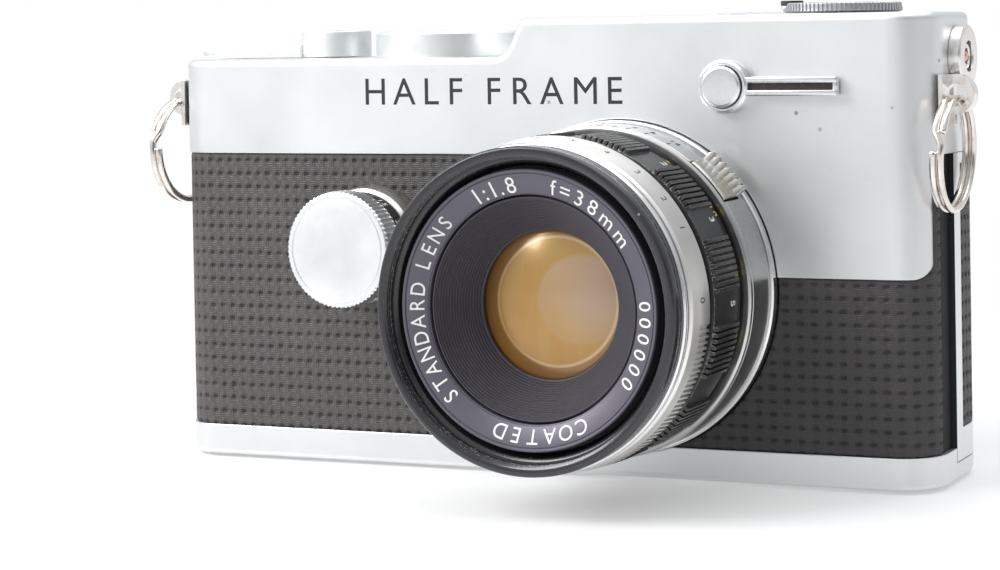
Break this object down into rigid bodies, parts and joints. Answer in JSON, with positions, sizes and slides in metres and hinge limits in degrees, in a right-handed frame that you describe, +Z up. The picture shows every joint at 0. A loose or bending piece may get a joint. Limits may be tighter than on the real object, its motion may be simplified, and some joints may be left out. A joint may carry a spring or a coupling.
{
  "type": "camera",
  "caption": "Half frame single lens reflex film camera with a flat stepped top, front speed dial, bayonet lens with focus and aperture rings, hinged back and strap rings.",
  "frame": {"origin": "mouth of the tripod socket, at the middle of the base underside", "axes": "+Z up, the lens looks along -Y, +X towards the rewind end"},
  "size_m": [0.1364, 0.0633, 0.0707],
  "materials": {
    "satin_chrome": "satin chrome plating, fine grain, slightly worn",
    "bright_chrome": "polished chrome",
    "steel_wire": "plated steel wire",
    "black_casting": "die cast alloy, matt black paint",
    "leatherette": "grained leatherette with a fine square grid",
    "black_anodised": "black anodised, semi gloss",
    "black_enamel": "polished black enamel",
    "violet_black": "dark anodised, faint violet sheen",
    "satin_alloy": "satin silver anodised",
    "coated_glass": "polished, amber anti reflection coating",
    "optical_glass": "clear polished",
    "mirror_silver": "front silvered",
    "titanium_foil": "thin bare metal sheet",
    "brass_contact": "bare contact metal",
    "black_plastic": "moulded insulating plastic",
    "screw_steel": "slotted screws, nickel plated"
  },
  "bodies": {
    "camera_body": {"body_casting": "black_casting", "bottom_plate": "satin_chrome", "base_screws": "screw_steel", "tripod_bush": "screw_steel", "top_cover": "satin_chrome", "cover_screws": "screw_steel", "front_leather_left": "leatherette", "front_leather_right": "leatherette", "back_hinge_pin": "screw_steel", "mount_ring": "bright_chrome", "mount_screws": "screw_steel", "focusing_screen": "optical_glass", "finder_prism": "optical_glass", "eyepiece_frame": "satin_chrome", "eyepiece_lens": "optical_glass", "shutter_button_collar": "satin_chrome", "dial_base": "satin_chrome", "sync_socket": "bright_chrome", "sync_insulator": "black_plastic", "sync_pin": "brass_contact", "strap_lugs": "bright_chrome"},
    "back": {"back_cover": "satin_chrome", "back_leather": "leatherette", "pressure_plate": "black_anodised", "pressure_spring": "titanium_foil"},
    "latch_key": {"back_latch_key": "satin_chrome"},
    "mirror": {"mirror_frame": "black_anodised", "mirror_glass": "mirror_silver"},
    "shutter": {"shutter_disc": "titanium_foil"},
    "spool": {"take_up_spool": "black_plastic"},
    "sprocket": {"sprocket_drum": "satin_alloy"},
    "lever": {"advance_lever": "satin_chrome", "frame_counter_window": "optical_glass"},
    "counter": {"frame_counter_dial": "black_plastic"},
    "release": {"shutter_button": "bright_chrome"},
    "rewind_lift": {"rewind_sleeve": "bright_chrome"},
    "rewind": {"rewind_knob": "satin_chrome", "rewind_fork": "brass_contact"},
    "crank": {"rewind_crank": "satin_chrome"},
    "crank_grip": {"rewind_crank_grip": "black_plastic"},
    "speed_dial": {"dial_number_ring": "black_enamel", "dial_knob": "satin_chrome"},
    "timer": {"self_timer_lever": "satin_chrome"},
    "timer_button": {"self_timer_button": "satin_chrome"},
    "lens_release": {"lens_release_button": "bright_chrome"},
    "lens": {"lens_mount_base": "satin_alloy"},
    "preview": {"preview_button": "satin_alloy"},
    "focus": {"focus_ring": "black_anodised"},
    "barrel": {"lens_barrel": "black_enamel", "barrel_trim_ring": "bright_chrome", "name_ring": "violet_black", "ridged_cone": "violet_black", "front_glass": "coated_glass", "rear_glass": "coated_glass", "aperture_blades": "titanium_foil"},
    "aperture": {"aperture_ring": "satin_alloy"},
    "ring_right": {"strap_ring_right": "steel_wire"},
    "ring_left": {"strap_ring_left": "steel_wire"}
  },
  "joints": [
    {"name": "back_open", "type": "hinge", "parent": "camera_body", "child": "back", "pos_m": [-0.0617, 0.0045, 0.0264], "axis": [0, 0, 1], "range_deg": [0, 100]},
    {"name": "latch_turn", "type": "hinge", "parent": "camera_body", "child": "latch_key", "pos_m": [0.052, 0.004, 0.001], "axis": [0, 0, -1], "range_deg": [0, 90]},
    {"name": "mirror_swing", "type": "hinge", "parent": "camera_body", "child": "mirror", "pos_m": [0.0254, 0.0068, 0.0285], "axis": [0, 0, 1], "range_deg": [0, 44]},
    {"name": "shutter_turn", "type": "hinge", "parent": "camera_body", "child": "shutter", "pos_m": [0.002, 0.0089, 0.0285], "axis": [0, -1, 0], "continuous": true},
    {"name": "lever_wind", "type": "hinge", "parent": "camera_body", "child": "lever", "pos_m": [-0.042, 0, 0.064], "axis": [0, 0, 1], "range_deg": [0, 120]},
    {"name": "counter_turn", "type": "hinge", "parent": "camera_body", "child": "counter", "pos_m": [-0.042, 0, 0.065], "axis": [0, 0, 1], "range_deg": [0, 5]},
    {"name": "sprocket_turn", "type": "hinge", "parent": "camera_body", "child": "sprocket", "pos_m": [-0.0315, 0.0063, 0.026], "axis": [0, 0, 1], "range_deg": [0, 181]},
    {"name": "spool_turn", "type": "hinge", "parent": "camera_body", "child": "spool", "pos_m": [-0.049, 0.001, 0.026], "axis": [0, 0, 1], "range_deg": [0, 166]},
    {"name": "shutter_press", "type": "slide", "parent": "camera_body", "child": "release", "axis": [0, 0, -1], "range_m": [0, 0.0012]},
    {"name": "rewind_pull", "type": "slide", "parent": "camera_body", "child": "rewind_lift", "axis": [0, 0, 1], "range_m": [0, 0.007]},
    {"name": "rewind_turn", "type": "hinge", "parent": "rewind_lift", "child": "rewind", "pos_m": [0.0453, 0.0002, 0.06], "axis": [0, 0, 1], "continuous": true},
    {"name": "crank_fold", "type": "hinge", "parent": "rewind", "child": "crank", "pos_m": [0.0477, 0.00132, 0.06961], "axis": [-0.4226, 0.9063, 0], "range_deg": [0, 150]},
    {"name": "grip_spin", "type": "hinge", "parent": "crank", "child": "crank_grip", "pos_m": [0.03841, -0.00301, 0.0699], "axis": [0, 0, 1], "continuous": true},
    {"name": "speed_turn", "type": "hinge", "parent": "camera_body", "child": "speed_dial", "pos_m": [-0.0266, -0.0206, 0.0342], "axis": [0, -1, 0], "range_deg": [0, 300]},
    {"name": "timer_turn", "type": "hinge", "parent": "camera_body", "child": "timer", "pos_m": [0.03246, -0.0156, 0.0582], "axis": [0, -1, 0], "range_deg": [0, 170]},
    {"name": "timer_press", "type": "slide", "parent": "timer", "child": "timer_button", "axis": [0, 1, 0], "range_m": [0, 0.0007]},
    {"name": "lens_release_press", "type": "slide", "parent": "camera_body", "child": "lens_release", "axis": [0, 1, 0], "range_m": [0, 0.0014]},
    {"name": "lens_twist", "type": "hinge", "parent": "camera_body", "child": "lens", "pos_m": [0.015, -0.0176, 0.0285], "axis": [0, -1, 0], "range_deg": [0, 45]},
    {"name": "preview_press", "type": "slide", "parent": "lens", "child": "preview", "axis": [-0.7314, 0, -0.682], "range_m": [0, 0.001]},
    {"name": "focus_turn", "type": "hinge", "parent": "lens", "child": "focus", "pos_m": [0.015, -0.0296, 0.0285], "axis": [0, -1, 0], "range_deg": [0, 160]},
    {"name": "focus_extend", "type": "slide", "parent": "lens", "child": "barrel", "axis": [0, -1, 0], "range_m": [0, 0.0028]},
    {"name": "aperture_turn", "type": "hinge", "parent": "barrel", "child": "aperture", "pos_m": [0.015, -0.0396, 0.0285], "axis": [0, -1, 0], "range_deg": [0, 70]},
    {"name": "right_ring_swing", "type": "hinge", "parent": "camera_body", "child": "ring_right", "pos_m": [0.0655, -0.0076, 0.0567], "axis": [0, -1, 0], "range_deg": [0, 80]},
    {"name": "left_ring_swing", "type": "hinge", "parent": "camera_body", "child": "ring_left", "pos_m": [-0.0655, -0.0076, 0.0567], "axis": [0, 1, 0], "range_deg": [0, 80]}
  ],
  "couplings": [
    {"joint": "counter_turn", "follows": "lever_wind", "ratio": 0.041},
    {"joint": "sprocket_turn", "follows": "lever_wind", "ratio": 1.5},
    {"joint": "spool_turn", "follows": "lever_wind", "ratio": 1.38},
    {"joint": "focus_extend", "follows": "focus_turn", "m_per_rad": 0.001}
  ]
}
